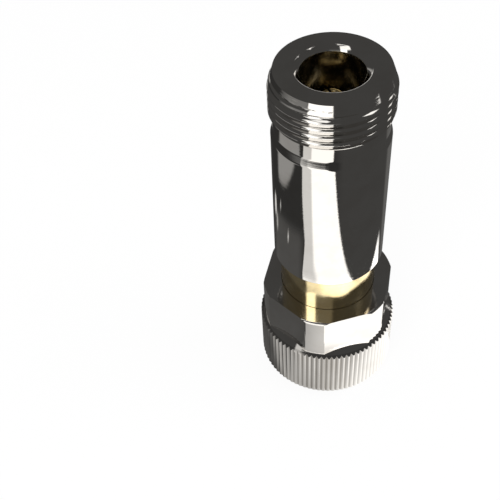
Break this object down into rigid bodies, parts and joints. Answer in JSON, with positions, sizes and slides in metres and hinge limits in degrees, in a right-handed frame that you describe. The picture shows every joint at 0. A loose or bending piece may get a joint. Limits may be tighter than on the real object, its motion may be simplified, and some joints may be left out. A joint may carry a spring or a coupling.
{
  "type": "coaxial adapter with a 7 mm sexless precision end and an N jack",
  "caption": "Straight coaxial adapter: threaded N jack at one end, sexless precision connector with a knurled hexagon coupling nut and a threaded sleeve at the other.",
  "frame": {"origin": "centre of the 7 mm mating plane, which is the surface that the adapter stands on", "axes": "+Z along the line's axis, from the 7 mm end to the N jack; +X through a spanner hole and a key pin"},
  "size_m": [0.0204, 0.0204, 0.055],
  "materials": {
    "polished_nickel": "polished nickel plate",
    "satin_silver": "fine turned, satin",
    "gold": "polished gold plate",
    "pink_gold": "satin beryllium copper under thin gold",
    "spring_steel": "bright drawn",
    "amber_dielectric": "moulded amber plastic",
    "white_dielectric": "turned white plastic"
  },
  "bodies": {
    "adapter": {"n_shell": "polished_nickel", "n_insert": "gold", "n_bead": "white_dielectric", "n_socket": "gold", "centre_rod": "gold", "main_body": "gold", "face_plate": "satin_silver", "line_tube": "gold", "front_bead": "amber_dielectric", "front_contact": "pink_gold", "collet_spring": "spring_steel", "key_pin_1": "spring_steel", "key_pin_2": "spring_steel", "thrust_washer": "white_dielectric", "snap_ring": "spring_steel"},
    "nut": {"coupling_nut": "polished_nickel"},
    "sleeve": {"coupling_sleeve": "satin_silver"},
    "collet": {"collet": "pink_gold"}
  },
  "joints": [
    {"name": "nut_turn", "type": "hinge", "parent": "adapter", "child": "nut", "pos_m": [0, 0, 0.01], "axis": [0, 0, 1], "range_deg": [0, 1440]},
    {"name": "sleeve_slide", "type": "slide", "parent": "adapter", "child": "sleeve", "axis": [0, 0, -1], "range_m": [0, 0.00425]},
    {"name": "collet_press", "type": "slide", "parent": "adapter", "child": "collet", "axis": [0, 0, 1], "range_m": [0, 0.0003], "stiffness_N_per_m": 150, "springref_m": -0.0002, "deforming": ["collet_spring"]}
  ],
  "couplings": [
    {"joint": "sleeve_slide", "follows": "nut_turn", "m_per_rad": 0.00016844}
  ]
}
